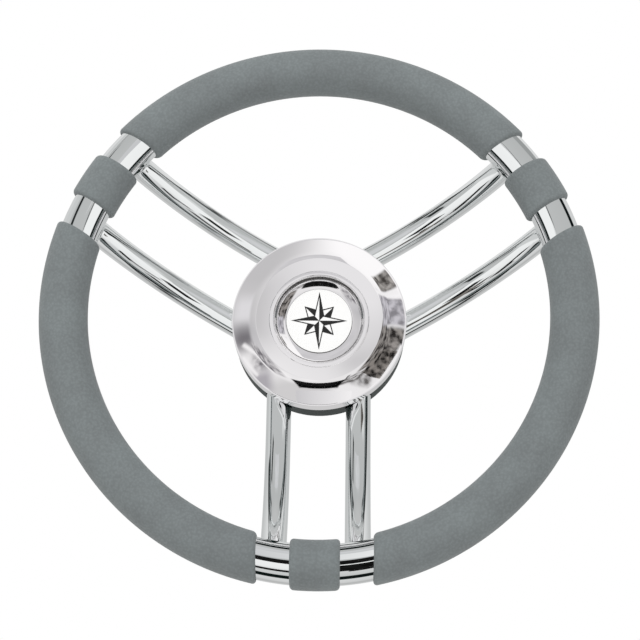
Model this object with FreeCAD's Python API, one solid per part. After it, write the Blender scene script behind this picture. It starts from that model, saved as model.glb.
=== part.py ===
import FreeCAD, Part
import math
import os

# Stainless boat steering wheel with three pairs of bent tube spokes, padded grips and a round hub cap.
# Millimetres. The wheel turns about Y, its face looks along -Y, +Z is up and a pair of spokes points down.
# The origin is the centre of the shaft taper's wide end, in the rear face of the hub boss.
# Every piece is drawn with its height measured forward from that rear face, then laid over onto -Y.

# Rim and grips
WHEEL_DIAMETER = 350.0       # over the grips
RIM_TUBE_DIAMETER = 25.0
RIM_TUBE_WALL = 1.5
GRIP_THICKNESS = 2.7         # moulded polyurethane around the rim tube
DISH = 84.0                  # rim centre plane in front of the boss's rear face
BAND_INSIDE = 10.7           # bare tube from a spoke's axis to the sleeve between a pair, square to the spoke
BAND_OUTSIDE = 9.3           # bare tube from a spoke's axis to the long grip, likewise
GRIP_EDGE_RADIUS = 2.5       # rounded ends of grips and sleeves

# Spokes, in pairs that run side by side, evenly spaced round the hub
PAIR_NAMES = ("right", "left", "bottom")
FIRST_PAIR_ANGLE = 30.0      # degrees, from the right-hand side
SPOKE_DIAMETER = 16.0
SPOKE_WALL = 1.5
SPOKE_SPACING = 51.4         # between the two centrelines of a pair
SPOKE_DROP = 50.0            # straight run behind the rim centre plane
SPOKE_INNER_END = 38.0       # from the shaft axis, measured along the pair
SPOKE_LEAD = 3.7             # straight tube outside the cap, before the forward bend
SPOKE_AIM = 3.0              # the bend meets the rim this far behind its centre plane
WELD_GAP = 0.1               # root gap of the welded joints

# Hub plate, front ring and boss, which hold the spokes between them
PLATE_THICKNESS = 4.0
PLATE_CLEARANCE = 1.8        # between the plate's edge and the rear cover
RING_THICKNESS = 6.5
RING_WIDTH = 11.0
RING_CLEARANCE = 0.3         # between the front ring and the rear cover
BOSS_DIAMETER = 40.0
BOSS_PROUD = 6.1             # boss in front of the plate
BOSS_CHAMFER = 1.5

# Seat for a tapered helm shaft: 3/4 inch, 1 in 12, with a 3/16 inch key
SHAFT_DIAMETER = 19.05
TAPER = 1.0 / 12.0
KEYWAY_WIDTH = 4.76
KEYWAY_DEPTH = 2.4
NUT_RECESS_DIAMETER = 30.0
NUT_RECESS_DEPTH = 4.0

# Rear cover: a moulded cup that is pushed on from behind and notched for the spokes
COVER_STEP = 0.3             # the cap stands this far outside the cover all round
COVER_WALL = 2.2
COVER_CORNER = 3.0
EDGE_CLEARANCE = 0.3         # where cover and cap meet, in front of the spokes
NOTCH_CLEARANCE = 0.4
BOSS_CLEARANCE = 0.4

# Cover screws: M4 button heads with a hexagon socket
SCREW_CIRCLE = 84.0
SCREW_ANGLES = (90.0, 210.0, 330.0)
SCREW_DIAMETER = 4.0
SCREW_LENGTH = 6.0           # under the head
SCREW_HEAD_DIAMETER = 7.6
SCREW_HEAD_HEIGHT = 2.2
SCREW_SOCKET = 2.5           # across flats
SCREW_SOCKET_DEPTH = 1.3
SCREW_CLEARANCE = 0.1

# Cap: one polished pressing, from the dished middle out to the straight skirt
CAP_DIAMETER = 112.6
CAP_WALL = 1.5
CAP_HEIGHT = 16.6            # from the skirt's edge to the lip
LIP_RADIUS = 29.7            # inner edge of the flat lip around the dish
LIP_WIDTH = 2.1
LIP_ROUNDING = 1.2
LIP_STEP = 0.3               # the face beside the lip lies this much lower
FACE_RADIUS = 40.6           # ridge where the face ends and the shoulder begins
FACE_SLOPE = 8.0             # degrees, rising outward from the lip to the ridge
CROWN_RADIUS = 46.3          # the narrow crown outside the ridge ends here
CROWN_TILTS = (9.0, 21.0)    # degrees, falling outward along the crown
SHOULDER_EDGE_TILT = 24.5    # degrees, at the outer end of the long shoulder
SHOULDER_ROUNDING = 1.7      # where the shoulder turns over into the skirt
DISH_WALL_TILT = 70.0        # steep wall under the lip
DISH_WALL_HEIGHT = 2.8
DISH_FILLET = 1.5            # foot of the steep wall
BOWL_TILTS = (10.0, 19.0)    # degrees, at the emblem and at the foot of the wall

# Emblem: a white enamelled disc with the eight points of a compass in dark enamel
EMBLEM_DIAMETER = 42.7
EMBLEM_THICKNESS = 0.85
EMBLEM_CLEARANCE = 0.3
ROSE_THICKNESS = 0.12
ROSE_UPRIGHT_MARGIN = 2.0    # from the disc's edge to the upper and lower tips
ROSE_LEVEL_MARGIN = 3.3      # to the left and right tips
ROSE_DIAGONAL_MARGIN = 7.9   # to the four short tips
ROSE_MAIN_WAIST = 4.6        # corners between the long points, from the centre
ROSE_DIAGONAL_WAIST = 6.9    # the same for the short points
ROSE_LINE = 0.65             # outline along the white half of each point
ROSE_CENTRE = 0.3            # dark dot where the points meet

# O-ring that grips the cap's skirt
ORING_SECTION = 2.8
ORING_GROOVE_CLEARANCE = 0.2

# Worked out from the sizes above
GRIP_DIAMETER = RIM_TUBE_DIAMETER + 2 * GRIP_THICKNESS
PAIR_STEP = 360 / len(PAIR_NAMES)
PAIR_ANGLES = {name: FIRST_PAIR_ANGLE + PAIR_STEP * k for k, name in enumerate(PAIR_NAMES)}
RIM_RADIUS = (WHEEL_DIAMETER - GRIP_DIAMETER) / 2
RIM_TUBE_RADIUS = RIM_TUBE_DIAMETER / 2
SPOKE_RADIUS = SPOKE_DIAMETER / 2
SPOKE_HEIGHT = DISH - SPOKE_DROP
SLEEVE_REACH = SPOKE_SPACING / 2 - BAND_INSIDE
GRIP_REACH = SPOKE_SPACING / 2 + BAND_OUTSIDE
PLATE_FRONT = SPOKE_HEIGHT - SPOKE_RADIUS - WELD_GAP
PLATE_REAR = PLATE_FRONT - PLATE_THICKNESS
RING_REAR = SPOKE_HEIGHT + SPOKE_RADIUS + WELD_GAP
COVER_FLOOR_REAR = PLATE_REAR - COVER_WALL
COVER_EDGE = SPOKE_HEIGHT + SPOKE_RADIUS + EDGE_CLEARANCE
BOSS_LENGTH = PLATE_FRONT + BOSS_PROUD
CAP_RADIUS = CAP_DIAMETER / 2
COVER_RADIUS = CAP_RADIUS - COVER_STEP
COVER_BORE = COVER_RADIUS - COVER_WALL
PLATE_RADIUS = COVER_BORE - PLATE_CLEARANCE
SHOULDER_RADIUS = CAP_RADIUS - SHOULDER_ROUNDING * (1 - math.sin(math.radians(SHOULDER_EDGE_TILT)))
SPOKE_BEND_START = CAP_RADIUS + SPOKE_LEAD
SKIRT_BORE = CAP_RADIUS - CAP_WALL
RING_RADIUS = COVER_BORE - RING_CLEARANCE
ORING_RADIUS = SKIRT_BORE - ORING_SECTION / 2
ORING_HEIGHT = RING_REAR + RING_THICKNESS / 2
SEAT_RADIUS = EMBLEM_DIAMETER / 2 + EMBLEM_CLEARANCE


def vec(x, y, z=0.0):
    return FreeCAD.Vector(x, y, z)


def around(shape, angle):
    """Turn a shape about the shaft axis, counter-clockwise as seen from the front."""
    turned = shape.copy()
    turned.rotate(vec(0, 0), vec(0, 0, 1), angle)
    return turned


def save(shape, node):
    """Lay a piece over so that forward is -Y, and write it to its own file."""
    laid = shape.copy()
    laid.rotate(vec(0, 0), vec(1, 0), 90)
    laid.exportStep("parts/" + node + ".step")
    print(node, len(laid.Solids), "solid", round(laid.Volume / 1000, 2), "cm3")


def disc(radius, thickness, height):
    return Part.makeCylinder(radius, thickness, vec(0, 0, height))


def washer(outer, inner, thickness, height):
    return disc(outer, thickness, height).cut(disc(inner, thickness, height))


class Profile:
    """An outline in the radius-height plane, drawn outward or inward by runs and arcs.

    Tilt is the slope of the surface in degrees: positive where it falls as the radius grows.
    """

    def __init__(self, radius, height, tilt=0.0, outward=1):
        self.r = radius
        self.h = height
        self.tilt = math.radians(tilt)
        self.way = outward
        self.edges = []

    def go(self, radius, height):
        start = vec(self.r, 0, self.h)
        self.edges.append(Part.LineSegment(start, vec(radius, 0, height)).toShape())
        self.r, self.h = radius, height

    def run_to_radius(self, radius, tilt):
        """A straight run at a slope, as far as a radius."""
        self.tilt = math.radians(tilt)
        self.go(radius, self.h - (radius - self.r) * math.tan(self.tilt))

    def arc(self, radius_of_arc, tilt):
        """A smooth bend from the present tilt to another."""
        end = math.radians(tilt)
        side = self.way * math.copysign(1.0, end - self.tilt)

        def at(angle):
            r = self.r + side * radius_of_arc * (math.sin(angle) - math.sin(self.tilt))
            h = self.h + side * radius_of_arc * (math.cos(angle) - math.cos(self.tilt))
            return vec(r, 0, h)

        last = at(end)
        middle = at((self.tilt + end) / 2)
        self.edges.append(Part.Arc(vec(self.r, 0, self.h), middle, last).toShape())
        self.r, self.h, self.tilt = last.x, last.z, end

    def arc_to_radius(self, radius, tilt):
        """A bend whose own radius follows from where it ends."""
        change = math.sin(math.radians(tilt)) - math.sin(self.tilt)
        self.arc(abs((radius - self.r) / change), tilt)


# Rim

def rim_tube():
    outside = Part.makeTorus(RIM_RADIUS, RIM_TUBE_RADIUS, vec(0, 0, DISH))
    bore = Part.makeTorus(RIM_RADIUS, RIM_TUBE_RADIUS - RIM_TUBE_WALL, vec(0, 0, DISH))
    return outside.cut(bore)


def plain_grip(first_angle):
    """A length of grip on the rim, as long as from one pair of spokes to the next."""
    centre = vec(RIM_RADIUS, 0, DISH)
    circle = Part.Circle(centre, vec(0, 1), GRIP_DIAMETER / 2)
    section = Part.Face(Part.Wire(circle.toShape()))
    return around(section.revolve(vec(0, 0), vec(0, 0, 1), PAIR_STEP), first_angle)


def beside_pair(angle, reach):
    """A block over the rim at a pair of spokes, with its two sides parallel to the spokes."""
    block = Part.makeBox(WHEEL_DIAMETER, 2 * reach, 2 * GRIP_DIAMETER, vec(0, -reach, DISH - GRIP_DIAMETER))
    return around(block, angle)


def moulded(solid):
    """Round the two ends, and leave room for the rim tube."""
    ends = [edge for edge in solid.Edges if edge.Closed]
    solid = solid.makeFillet(GRIP_EDGE_RADIUS, ends)
    return solid.cut(Part.makeTorus(RIM_RADIUS, RIM_TUBE_RADIUS, vec(0, 0, DISH)))


def long_grip(pair_angle):
    """The grip from a pair of spokes to the next, counter-clockwise."""
    solid = plain_grip(0.0)
    for angle in (0.0, PAIR_STEP):
        solid = solid.cut(beside_pair(angle, GRIP_REACH))
    return around(moulded(solid), pair_angle)


def sleeve(pair_angle):
    """The short grip between the two spokes of a pair."""
    solid = plain_grip(-PAIR_STEP / 2).common(beside_pair(0.0, SLEEVE_REACH))
    return around(moulded(solid), pair_angle)


# Spokes

def spoke(pair_angle, side):
    """One bent tube: straight out of the hub, then forward to a saddle joint on the rim tube."""
    offset = side * SPOKE_SPACING / 2
    start = vec(SPOKE_INNER_END, offset, SPOKE_HEIGHT)
    rise = SPOKE_DROP - SPOKE_AIM
    reach = math.sqrt(RIM_RADIUS ** 2 - offset ** 2) - SPOKE_BEND_START
    bend_radius = (reach ** 2 + rise ** 2) / (2 * rise)
    bend_angle = math.degrees(math.asin(reach / bend_radius))

    def tube(radius):
        section = Part.Face(Part.Wire(Part.Circle(start, vec(1, 0), radius).toShape()))
        straight = section.extrude(vec(SPOKE_BEND_START - SPOKE_INNER_END, 0))
        section.translate(vec(SPOKE_BEND_START - SPOKE_INNER_END, 0))
        pivot = vec(SPOKE_BEND_START, offset, SPOKE_HEIGHT + bend_radius)
        bend = section.revolve(pivot, vec(0, -1), bend_angle)
        return straight.fuse(bend).removeSplitter()

    solid = tube(SPOKE_RADIUS).cut(tube(SPOKE_RADIUS - SPOKE_WALL))
    saddle = Part.makeTorus(RIM_RADIUS, RIM_TUBE_RADIUS + WELD_GAP, vec(0, 0, DISH))
    return around(solid.cut(saddle), pair_angle)


# Hub

def screw_places():
    for angle in SCREW_ANGLES:
        turn = math.radians(angle)
        yield vec(SCREW_CIRCLE / 2 * math.cos(turn), SCREW_CIRCLE / 2 * math.sin(turn))


def hub_boss():
    """Turned boss, with the shaft's taper and keyway from behind and the nut's recess in front."""
    solid = disc(BOSS_DIAMETER / 2, BOSS_LENGTH, 0)
    rims = [edge for edge in solid.Edges if edge.Closed]
    solid = solid.makeChamfer(BOSS_CHAMFER, rims)
    shaft_radius = SHAFT_DIAMETER / 2
    far_radius = shaft_radius - BOSS_LENGTH * TAPER / 2
    solid = solid.cut(Part.makeCone(shaft_radius, far_radius, BOSS_LENGTH))
    recess_floor = BOSS_LENGTH - NUT_RECESS_DEPTH
    solid = solid.cut(disc(NUT_RECESS_DIAMETER / 2, NUT_RECESS_DEPTH, recess_floor))
    keyway = Part.makeBox(KEYWAY_WIDTH, shaft_radius + KEYWAY_DEPTH, BOSS_LENGTH,
                          vec(-KEYWAY_WIDTH / 2, 0, 0))
    return solid.cut(keyway)


def hub_plate():
    """Rear plate behind the spokes, bored for the boss and drilled for the cover screws."""
    solid = washer(PLATE_RADIUS, BOSS_DIAMETER / 2 + WELD_GAP, PLATE_THICKNESS, PLATE_REAR)
    for place in screw_places():
        hole = disc(SCREW_DIAMETER / 2 + SCREW_CLEARANCE, PLATE_THICKNESS, PLATE_REAR)
        hole.translate(place)
        solid = solid.cut(hole)
    return solid


def front_ring():
    """Ring across the front of the spokes, grooved for the O-ring that holds the cap."""
    solid = washer(RING_RADIUS, RING_RADIUS - RING_WIDTH, RING_THICKNESS, RING_REAR)
    groove_width = ORING_SECTION + 2 * ORING_GROOVE_CLEARANCE
    groove_floor = SKIRT_BORE - ORING_SECTION
    groove = washer(RING_RADIUS, groove_floor, groove_width, ORING_HEIGHT - groove_width / 2)
    return solid.cut(groove)


def cap_oring():
    return Part.makeTorus(ORING_RADIUS, ORING_SECTION / 2, vec(0, 0, ORING_HEIGHT))


def rear_cover():
    """Moulded cup behind the spokes, open to the front, with a round-bottomed notch for each spoke."""
    outer = COVER_RADIUS
    depth = COVER_EDGE - COVER_FLOOR_REAR
    solid = disc(outer, depth, COVER_FLOOR_REAR)
    corner = [edge for edge in solid.Edges if edge.Closed and edge.Vertexes[0].Z < PLATE_REAR]
    solid = solid.makeFillet(COVER_CORNER, corner)
    solid = solid.cut(disc(COVER_BORE, depth, PLATE_REAR))
    solid = solid.cut(disc(BOSS_DIAMETER / 2 + BOSS_CLEARANCE, depth, COVER_FLOOR_REAR))
    for place in screw_places():
        hole = disc(SCREW_DIAMETER / 2 + SCREW_CLEARANCE, COVER_WALL, COVER_FLOOR_REAR)
        hole.translate(place)
        solid = solid.cut(hole)
    notch_radius = SPOKE_RADIUS + NOTCH_CLEARANCE
    for pair_angle in PAIR_ANGLES.values():
        for side in (-1, 1):
            offset = side * SPOKE_SPACING / 2
            start = vec(SPOKE_INNER_END, offset, SPOKE_HEIGHT)
            notch = Part.makeCylinder(notch_radius, outer, start, vec(1, 0))
            slot = Part.makeBox(outer, 2 * notch_radius, depth,
                                vec(SPOKE_INNER_END, offset - notch_radius, SPOKE_HEIGHT))
            solid = solid.cut(around(notch.fuse(slot), pair_angle))
    return solid


def cover_screws():
    """Three button-head screws through the cover's floor into the hub plate."""
    screws = []
    for place in screw_places():
        shank = disc(SCREW_DIAMETER / 2, SCREW_LENGTH, COVER_FLOOR_REAR)
        head = disc(SCREW_HEAD_DIAMETER / 2, SCREW_HEAD_HEIGHT, COVER_FLOOR_REAR - SCREW_HEAD_HEIGHT)
        rim = [edge for edge in head.Edges
               if edge.Closed and edge.Vertexes[0].Z < COVER_FLOOR_REAR - SCREW_HEAD_HEIGHT / 2]
        head = head.makeFillet(SCREW_HEAD_HEIGHT * 0.6, rim)
        corner_radius = SCREW_SOCKET / 2 / math.cos(math.radians(30))
        corners = [vec(corner_radius * math.cos(math.radians(60 * k)),
                       corner_radius * math.sin(math.radians(60 * k)),
                       COVER_FLOOR_REAR - SCREW_HEAD_HEIGHT) for k in range(7)]
        socket = Part.Face(Part.makePolygon(corners)).extrude(vec(0, 0, SCREW_SOCKET_DEPTH))
        screw = shank.fuse(head).removeSplitter().cut(socket)
        screw.translate(place)
        screws.append(screw)
    return Part.makeCompound(screws)


# Cap and emblem

def cap_profiles():
    """The cap's front surface, from its lip outward to the skirt and inward to the emblem's seat."""
    lip_height = COVER_EDGE + CAP_HEIGHT
    out = Profile(LIP_RADIUS, lip_height)
    out.go(LIP_RADIUS + LIP_WIDTH, lip_height)
    out.go(LIP_RADIUS + LIP_WIDTH + LIP_STEP, lip_height - LIP_STEP)
    out.run_to_radius(FACE_RADIUS, -FACE_SLOPE)
    out.tilt = math.radians(CROWN_TILTS[0])
    out.arc_to_radius(CROWN_RADIUS, CROWN_TILTS[1])
    out.arc_to_radius(SHOULDER_RADIUS, SHOULDER_EDGE_TILT)
    out.arc_to_radius(CAP_RADIUS, 90.0)
    out.go(CAP_RADIUS, COVER_EDGE)

    inward = Profile(LIP_RADIUS, lip_height, outward=-1)
    inward.arc(LIP_ROUNDING, -DISH_WALL_TILT)
    wall_width = DISH_WALL_HEIGHT / math.tan(math.radians(DISH_WALL_TILT))
    inward.run_to_radius(inward.r - wall_width, -DISH_WALL_TILT)
    inward.arc(DISH_FILLET, -BOWL_TILTS[1])
    inward.arc_to_radius(SEAT_RADIUS, -BOWL_TILTS[0])
    inward.go(0, inward.h)
    return out, inward


def cap_shell():
    out, inward = cap_profiles()
    outline = Part.Wire(inward.edges[::-1] + out.edges)
    section = outline.makeOffset2D(CAP_WALL, 0, True, True, False)
    return section.revolve(vec(0, 0), vec(0, 0, 1), 360)


def emblem_seat():
    return cap_profiles()[1].h


def emblem_disc():
    solid = disc(EMBLEM_DIAMETER / 2, EMBLEM_THICKNESS, emblem_seat())
    front = [edge for edge in solid.Edges
             if edge.Closed and edge.Vertexes[0].Z > emblem_seat() + EMBLEM_THICKNESS / 2]
    return solid.makeFillet(EMBLEM_THICKNESS * 0.4, front)


def polygon_face(corners, height):
    points = [vec(x, y, height) for x, y in corners]
    return Part.Face(Part.makePolygon(points + points[:1]))


def compass_rose():
    """Eight points, each dark on its clockwise half and outlined on the other."""
    height = emblem_seat() + EMBLEM_THICKNESS

    def at(radius, angle):
        return (radius * math.cos(math.radians(angle)), radius * math.sin(math.radians(angle)))

    def point(angle, tip, waist):
        """The whole outline of a point, and the window that shows its white half."""
        start, end = at(waist, angle - 45), at(waist, angle + 45)
        field = polygon_face([(0, 0), start, at(tip, angle), end], height)
        edge = math.hypot(at(tip, angle)[0] - end[0], at(tip, angle)[1] - end[1])
        to_edge = tip * waist * math.sin(math.radians(45)) / edge
        kept = 1 - ROSE_LINE / to_edge
        window = polygon_face([(0, 0), at(kept * tip, angle), at(kept * waist, angle + 45)], height)
        up = vec(0, 0, ROSE_THICKNESS)
        return field.extrude(up), window.extrude(up)

    level = EMBLEM_DIAMETER / 2 - ROSE_LEVEL_MARGIN
    upright = EMBLEM_DIAMETER / 2 - ROSE_UPRIGHT_MARGIN
    short = EMBLEM_DIAMETER / 2 - ROSE_DIAGONAL_MARGIN
    long_points = [point(90 * k, (level, upright)[k % 2], ROSE_MAIN_WAIST) for k in range(4)]
    short_points = [point(45 + 90 * k, short, ROSE_DIAGONAL_WAIST) for k in range(4)]
    solid = disc(ROSE_CENTRE, ROSE_THICKNESS, height)
    for field, window in long_points:
        solid = solid.fuse(field.cut(window))
    for field, window in short_points:
        behind = field.cut(window)
        for front_field, front_window in long_points:
            behind = behind.cut(front_field)
        solid = solid.fuse(behind)
    return solid.removeSplitter()


os.makedirs("parts", exist_ok=True)
save(rim_tube(), "rim_tube")
for name, pair in (("top", "right"), ("lower_left", "left"), ("lower_right", "bottom")):
    save(long_grip(PAIR_ANGLES[pair]), "grip_" + name)
for name, angle in PAIR_ANGLES.items():
    save(sleeve(angle), "sleeve_" + name)
for name, side in (("lower", -1), ("upper", 1)):
    save(spoke(PAIR_ANGLES["right"], side), "spoke_right_" + name)
for name, side in (("upper", -1), ("lower", 1)):
    save(spoke(PAIR_ANGLES["left"], side), "spoke_left_" + name)
for name, side in (("left", -1), ("right", 1)):
    save(spoke(PAIR_ANGLES["bottom"], side), "spoke_bottom_" + name)
save(hub_boss(), "hub_boss")
save(hub_plate(), "hub_plate")
save(front_ring(), "front_ring")
save(cap_oring(), "cap_oring")
save(rear_cover(), "rear_cover")
save(cover_screws(), "cover_screws")
save(cap_shell(), "cap_shell")
save(emblem_disc(), "emblem_disc")
save(compass_rose(), "compass_rose")
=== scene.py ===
# %% [markdown]
# This is a boat steering wheel: a rim of polished stainless tube with moulded grips, six bent tube spokes in
# three pairs, and a round polished cap over the hub. The imported model is loaded first, as a fixed frame.

# %% Load the imported wheel
from math import asin, atan2, copysign, cos, degrees, hypot, pi, radians, sin, sqrt, tan

import bmesh
import bpy
from mathutils import Matrix, Vector


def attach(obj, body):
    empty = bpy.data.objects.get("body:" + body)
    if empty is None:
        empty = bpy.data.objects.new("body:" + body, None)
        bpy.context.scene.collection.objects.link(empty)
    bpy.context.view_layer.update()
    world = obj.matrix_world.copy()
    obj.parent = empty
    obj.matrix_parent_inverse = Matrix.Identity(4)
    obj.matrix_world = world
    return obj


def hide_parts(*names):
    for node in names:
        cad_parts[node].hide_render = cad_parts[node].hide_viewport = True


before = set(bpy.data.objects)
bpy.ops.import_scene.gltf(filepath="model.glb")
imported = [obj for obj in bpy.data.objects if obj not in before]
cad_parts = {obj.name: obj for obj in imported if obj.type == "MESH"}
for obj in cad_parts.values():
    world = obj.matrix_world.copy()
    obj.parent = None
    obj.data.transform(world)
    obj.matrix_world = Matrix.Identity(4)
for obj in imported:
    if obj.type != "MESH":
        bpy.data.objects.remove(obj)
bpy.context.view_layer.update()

print("nodes:", ", ".join(sorted(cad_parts)))

# %% [markdown]
# The wheel's own directions are used throughout. Angles run counter-clockwise as the helmsman sees
# them, from the right-hand side, and forward is towards the helmsman, which is -Y. Sizes are written in
# millimetres, as on a drawing, and turned into Blender's metres where they are used. Those of the rim
# tube, the grip and the spoke are the radii of their round sections.

# %% Sizes of the wheel, in millimetres
RIM_RADIUS = 159.8
RIM_FORWARD = 84.0
RIM_TUBE = 12.5
GRIP = 15.2
SPOKE = 8.0
SPOKE_OFFSET = 25.7
SPOKE_FORWARD = 34.0
PAIRS = {"right": 30.0, "left": 150.0, "bottom": 270.0}


def place(radius, angle, forward):
    """A point in metres from its radius, its angle in degrees and its distance forward."""
    turn = radians(angle)
    return Vector((radius * cos(turn), -forward, radius * sin(turn))) * 0.001


def turned(angle):
    """A turn of the whole wheel about the shaft, counter-clockwise for the helmsman."""
    return Matrix.Rotation(radians(-angle), 4, "Y")


print("a point on top of the rim:", tuple(round(v, 4) for v in place(RIM_RADIUS, 90, RIM_FORWARD)))

# %% [markdown]
# Colours are written as the sRGB codes that a paint or print chart gives, while Blender's shaders work
# in linear light. One function turns the one into the other, and one function adds a node with its
# settings and links, so that each finish below reads as a short list.

# %% Colour and node helpers
def colour(code):
    """Linear colour with full alpha from an sRGB hex code."""
    parts = [int(code[i:i + 2], 16) / 255 for i in (1, 3, 5)]
    linear = [v / 12.92 if v <= 0.04045 else ((v + 0.055) / 1.055) ** 2.4 for v in parts]
    return (*linear, 1.0)


def add(tree, kind, inputs=None, **settings):
    """Add one shader node. Inputs are values or other nodes' outputs, by name or by number."""
    made = tree.nodes.new("ShaderNode" + kind)
    for name, value in settings.items():
        setattr(made, name, value)
    for key, value in (inputs or {}).items():
        if isinstance(value, bpy.types.NodeSocket):
            tree.links.new(value, made.inputs[key])
        else:
            made.inputs[key].default_value = value
    return made


def new_material(name):
    """An empty material, its tree, and the object's own coordinates to hang patterns on."""
    material = bpy.data.materials.new(name)
    material.use_nodes = True
    material.node_tree.nodes.clear()
    place_on = add(material.node_tree, "TexCoord").outputs["Object"]
    return material, material.node_tree, place_on


def close_material(tree, shader):
    """Send the finished shader to the surface."""
    add(tree, "OutputMaterial", {"Surface": shader.outputs[0]})


print("mid grey in linear light:", round(colour("#808080")[0], 3))

# %% [markdown]
# Stainless steel tube and sheet for boats is ground, then buffed to a mirror. What remains is a nearly
# perfect reflection with a faint haze from the last compound and a very slight waviness from the buffing
# mop. A picture of bright metal would carry another room's reflections, so the finish is a plain metal
# shader, and the studio at the end of this file gives it its look. The waviness is a low bump, 14 mm long
# on the tubes and 12 mm on the cap. The haze is a noise in the roughness, drawn at 1.5 mm because real
# buffing lines are too fine to show.

# %% Mirror-polished stainless steel
def polished_steel(name, tint, roughness, wave_mm, wave_height_mm):
    material, tree, where = new_material(name)
    haze = add(tree, "TexNoise", {"Vector": where, "Scale": 1000 / 1.5, "Detail": 4.0})
    rough = add(tree, "MapRange", {"Value": haze.outputs[0], "From Min": 0.3, "From Max": 0.7,
                                   "To Min": roughness * 0.7, "To Max": roughness * 1.5})
    wave = add(tree, "TexNoise", {"Vector": where, "Scale": 1000 / wave_mm, "Detail": 1.0})
    bump = add(tree, "Bump", {"Height": wave.outputs[0], "Distance": wave_height_mm * 0.001,
                              "Strength": 1.0})
    shader = add(tree, "BsdfPrincipled", {"Base Color": colour(tint), "Metallic": 1.0,
                                          "Roughness": rough.outputs[0], "Normal": bump.outputs[0]})
    close_material(tree, shader)
    return material


tube_steel = polished_steel("polished_stainless_tube", "#EEF0F0", 0.04, 14.0, 0.02)
cap_steel = polished_steel("polished_stainless_pressing", "#F1EFF0", 0.04, 12.0, 0.015)
print(tube_steel.name, cap_steel.name)

# %% [markdown]
# The boss, plate and front ring are turned on a lathe and left as they come off it. Turning leaves fine
# rings around the shaft. A wave on the distance from the shaft axis draws them without a seam, which an
# unwrapped picture would have. Real tool marks are about 0.1 mm apart, and they are drawn at 0.4 mm so
# that they show.

# %% Lathe-turned stainless steel
def turned_steel():
    material, tree, where = new_material("turned_stainless")
    # At a scale of 1 the rings of a wave texture lie 2 pi / 20 apart.
    rings = add(tree, "TexWave", {"Vector": where, "Scale": 2 * pi / 20 * 1000 / 0.4,
                                  "Distortion": 0.6, "Detail": 1.0},
                wave_type="RINGS", rings_direction="Y")
    rough = add(tree, "MapRange", {"Value": rings.outputs[1], "To Min": 0.24, "To Max": 0.38})
    bump = add(tree, "Bump", {"Height": rings.outputs[1], "Distance": 0.00002, "Strength": 0.6})
    shader = add(tree, "BsdfPrincipled", {"Base Color": colour("#C9C9C7"), "Metallic": 1.0,
                                          "Roughness": rough.outputs[0], "Normal": bump.outputs[0]})
    close_material(tree, shader)
    return material


lathe_steel = turned_steel()
print(lathe_steel.name)

# %% [markdown]
# The grips are integral-skin polyurethane, foamed around the tube in a mould whose inside was sand blasted.
# The skin is a matt mid grey with a slightly cloudy colour and a fine pebble grain, with shade painted into
# the grain's grooves and the pebbles painted a little lighter. Pebbles as geometry would need millions of
# faces, so they are a bump on a cell pattern.
# Real ones are about 0.7 mm, and they are drawn at 1.4 mm so that they show, with a finer roughness of
# 0.35 mm on them. The clouds are about 22 mm wide. The skin stays dull at grazing angles, where dust and
# the open grain scatter a little pale light.

# %% Moulded polyurethane grips
def grip_foam():
    material, tree, where = new_material("moulded_polyurethane")
    grain = add(tree, "TexVoronoi", {"Vector": where, "Scale": 1000 / 1.4}, feature="SMOOTH_F1")
    fine = add(tree, "TexNoise", {"Vector": where, "Scale": 1000 / 0.35, "Detail": 3.0})
    cloud = add(tree, "TexNoise", {"Vector": where, "Scale": 1000 / 22, "Detail": 3.0})
    height = add(tree, "Math", {0: grain.outputs["Distance"], 1: fine.outputs[0]}, operation="ADD")
    bump = add(tree, "Bump", {"Height": height.outputs[0], "Distance": 0.00009, "Strength": 0.55})
    skin = add(tree, "ValToRGB", {"Fac": cloud.outputs[0]})
    skin.color_ramp.elements[0].position, skin.color_ramp.elements[1].position = 0.35, 0.65
    skin.color_ramp.elements[0].color = colour("#767C7D")
    skin.color_ramp.elements[1].color = colour("#7C8384")
    # Painted shade: the colour darkens towards the grain's grooves and lightens a little on the pebbles.
    groove_shade = add(tree, "MapRange", {"Value": grain.outputs["Distance"], "From Min": 0.1, "From Max": 0.6,
                                     "To Min": 1.08, "To Max": 0.9})
    shaded = add(tree, "VectorMath", {0: skin.outputs[0], "Scale": groove_shade.outputs[0]}, operation="SCALE")
    shader = add(tree, "BsdfPrincipled", {"Base Color": shaded.outputs[0], "Roughness": 0.62,
                                          "Specular IOR Level": 0.35, "Sheen Weight": 0.12,
                                          "Sheen Roughness": 0.5, "Normal": bump.outputs[0]})
    close_material(tree, shader)
    return material


grip_skin = grip_foam()
print(grip_skin.name)

# %% [markdown]
# The cup behind the spokes is injection-moulded ABS in black, with a fine spark-eroded texture that
# gives it a soft satin look. The seal is plain black nitrile rubber, duller than the cup. One function
# makes both, because they differ only in colour, dullness and grain. Real grains of about 0.1 mm are too
# fine to show, so they are drawn at 0.5 mm and 0.4 mm.

# %% Black moulding and rubber
def black_moulding(name, code, roughness, grain_mm, depth_mm):
    material, tree, where = new_material(name)
    grain = add(tree, "TexNoise", {"Vector": where, "Scale": 1000 / grain_mm, "Detail": 2.0})
    bump = add(tree, "Bump", {"Height": grain.outputs[0], "Distance": depth_mm * 0.001,
                              "Strength": 0.5})
    rough = add(tree, "MapRange", {"Value": grain.outputs[0], "To Min": roughness - 0.06,
                                   "To Max": roughness + 0.06})
    shader = add(tree, "BsdfPrincipled", {"Base Color": colour(code), "Specular IOR Level": 0.2,
                                          "Roughness": rough.outputs[0], "Normal": bump.outputs[0]})
    close_material(tree, shader)
    return material


cover_abs = black_moulding("moulded_black_abs", "#06211D", 0.5, 0.5, 0.03)
seal_rubber = black_moulding("nitrile_rubber", "#1C1C1C", 0.7, 0.4, 0.02)
print(cover_abs.name, seal_rubber.name)
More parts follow.
